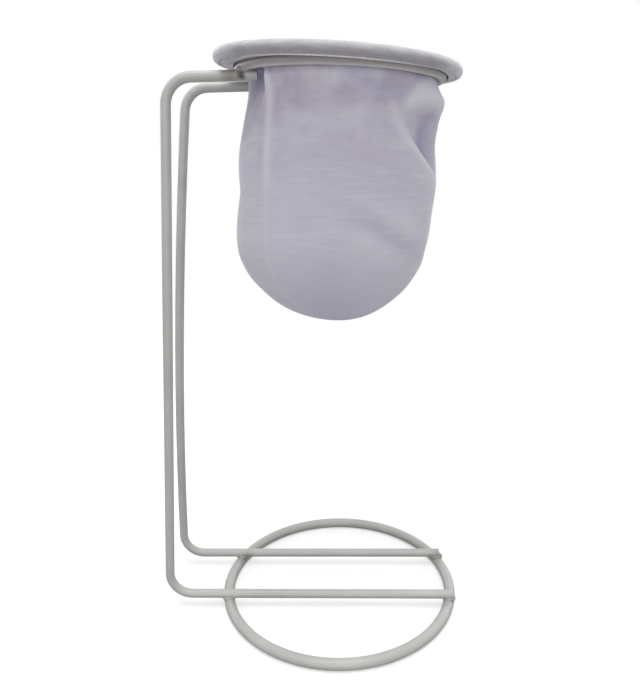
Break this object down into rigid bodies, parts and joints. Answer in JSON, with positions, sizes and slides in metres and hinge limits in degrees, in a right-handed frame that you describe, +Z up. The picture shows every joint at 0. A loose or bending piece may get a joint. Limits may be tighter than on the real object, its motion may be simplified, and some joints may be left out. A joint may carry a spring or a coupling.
{
  "type": "pour over dripper stand",
  "caption": "White wire stand for pour over coffee: a round foot and two bent uprights hold an upper ring with a cloth filter over the cup.",
  "frame": {"origin": "centre of the foot ring, on the floor", "axes": "+X away from the uprights along the rails, +Y from the front frame to the rear frame, +Z up"},
  "size_m": [0.1129, 0.0914, 0.1979],
  "materials": {
    "wire_paint": "off-white satin paint on steel wire",
    "weld_paint": "the same paint over the weld fillets, a little thicker and rougher",
    "hoop_steel": "plain drawn steel wire, hidden in the hem",
    "filter_cloth": "soft brushed cotton flannel, white with a faint lilac cast"
  },
  "bodies": {
    "root": {"base_ring": "wire_paint", "front_frame": "wire_paint", "rear_frame": "wire_paint", "top_ring": "wire_paint", "base_welds": "weld_paint", "top_welds": "weld_paint", "filter_hoop": "hoop_steel", "filter_bag": "filter_cloth"}
  },
  "joints": []
}
